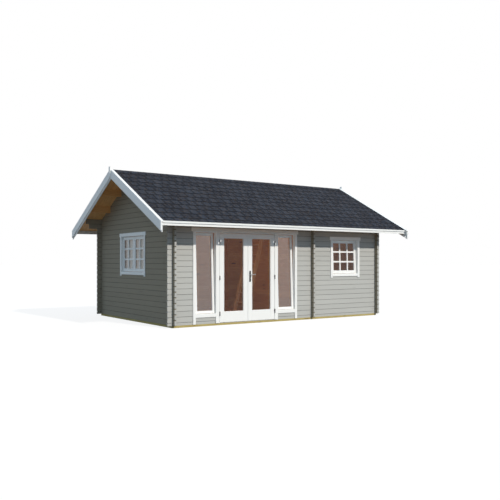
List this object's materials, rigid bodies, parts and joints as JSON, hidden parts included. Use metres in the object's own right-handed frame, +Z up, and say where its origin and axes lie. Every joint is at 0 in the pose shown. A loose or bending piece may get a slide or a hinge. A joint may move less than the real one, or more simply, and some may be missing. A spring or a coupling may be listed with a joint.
{
  "type": "log cabin",
  "caption": "Rectangular log cabin with interlocking corners, glazed double door, sidelights, two windows, a partition and a shingled gable roof.",
  "frame": {"origin": "middle of the cabin's outline, on the underside of the foundation beams", "axes": "+X to the right along the front wall, front faces -Y, +Z up"},
  "size_m": [6.872, 4.93, 3.4358],
  "materials": {
    "log_paint": "matt grey paint on planed logs",
    "pine": "planed natural pine",
    "white_paint": "satin white paint on planed boards",
    "treated_timber": "pressure-treated sawn timber",
    "shingle": "mineral-coated bitumen shingles",
    "clear_glass": "clear double glazing",
    "hinge_steel": "zinc-coated steel",
    "lever_metal": "satin aluminium",
    "lock_black": "black powder coat"
  },
  "bodies": {
    "cabin": {"foundation_long_beams": "treated_timber", "foundation_cross_beams": "treated_timber", "floor": "pine", "front_wall_left": "log_paint", "front_wall_right": "log_paint", "front_wall_header": "log_paint", "sidelight_sill_logs": "log_paint", "rear_wall": "log_paint", "gable_wall_left": "log_paint", "gable_wall_right": "log_paint", "partition_front": "log_paint", "partition_rear": "log_paint", "partition_header": "log_paint", "ridge_purlin": "pine", "side_purlins": "pine", "roof_boards_front": "pine", "roof_boards_rear": "pine", "shingles_front": "shingle", "shingles_rear": "shingle", "fascia_front": "white_paint", "fascia_rear": "white_paint", "barge_left_front": "white_paint", "barge_left_rear": "white_paint", "barge_right_front": "white_paint", "barge_right_rear": "white_paint", "apex_boards": "white_paint", "entrance_head": "white_paint", "door_posts": "white_paint", "door_threshold": "lever_metal", "entrance_trim": "white_paint", "sidelight_frames": "white_paint", "frame_hinges": "hinge_steel", "window_frames": "white_paint", "window_trim": "white_paint", "sash_pivots": "hinge_steel", "ladder_rails": "pine", "ladder_rungs": "pine"},
    "left_leaf": {"left_door": "white_paint", "left_door_glass": "clear_glass", "left_door_hinges": "hinge_steel"},
    "right_leaf": {"right_door": "white_paint", "right_door_glass": "clear_glass", "right_door_hinges": "hinge_steel", "lock_plates": "lock_black"},
    "lever": {"door_lever": "lever_metal"},
    "left_sidelight": {"left_sidelight_sash": "white_paint", "left_sidelight_glass": "clear_glass"},
    "right_sidelight": {"right_sidelight_sash": "white_paint", "right_sidelight_glass": "clear_glass"},
    "front_window": {"front_window_sash": "white_paint", "front_window_glass": "clear_glass"},
    "gable_window_front": {"gable_sash_front": "white_paint", "gable_glass_front": "clear_glass"},
    "gable_window_rear": {"gable_sash_rear": "white_paint", "gable_glass_rear": "clear_glass"}
  },
  "joints": [
    {"name": "left_door_swing", "type": "hinge", "parent": "cabin", "child": "left_leaf", "pos_m": [-1.762, -1.923, 1], "axis": [0, 0, -1], "range_deg": [0, 110]},
    {"name": "right_door_swing", "type": "hinge", "parent": "cabin", "child": "right_leaf", "pos_m": [-0.318, -1.923, 1], "axis": [0, 0, 1], "range_deg": [0, 110]},
    {"name": "lever_turn", "type": "hinge", "parent": "right_leaf", "child": "lever", "pos_m": [-0.9845, -1.909, 1.062], "axis": [0, 1, 0], "range_deg": [0, 40], "stiffness_Nm_per_rad": 1, "springref_deg": -57.3},
    {"name": "left_sidelight_tilt", "type": "hinge", "parent": "cabin", "child": "left_sidelight", "pos_m": [-2.095, -1.833, 0.273], "axis": [-1, 0, 0], "range_deg": [-2, 3]},
    {"name": "right_sidelight_tilt", "type": "hinge", "parent": "cabin", "child": "right_sidelight", "pos_m": [0.015, -1.833, 0.273], "axis": [-1, 0, 0], "range_deg": [-2, 3]},
    {"name": "front_window_tilt", "type": "hinge", "parent": "cabin", "child": "front_window", "pos_m": [1.818, -1.833, 1.071], "axis": [-1, 0, 0], "range_deg": [-2, 6]},
    {"name": "gable_window_front_swing", "type": "hinge", "parent": "cabin", "child": "gable_window_front", "pos_m": [-2.808, -0.568, 1.5], "axis": [0, 0, -1], "range_deg": [0, 100]},
    {"name": "gable_window_rear_swing", "type": "hinge", "parent": "cabin", "child": "gable_window_rear", "pos_m": [-2.808, 0.608, 1.5], "axis": [0, 0, 1], "range_deg": [0, 100]}
  ]
}
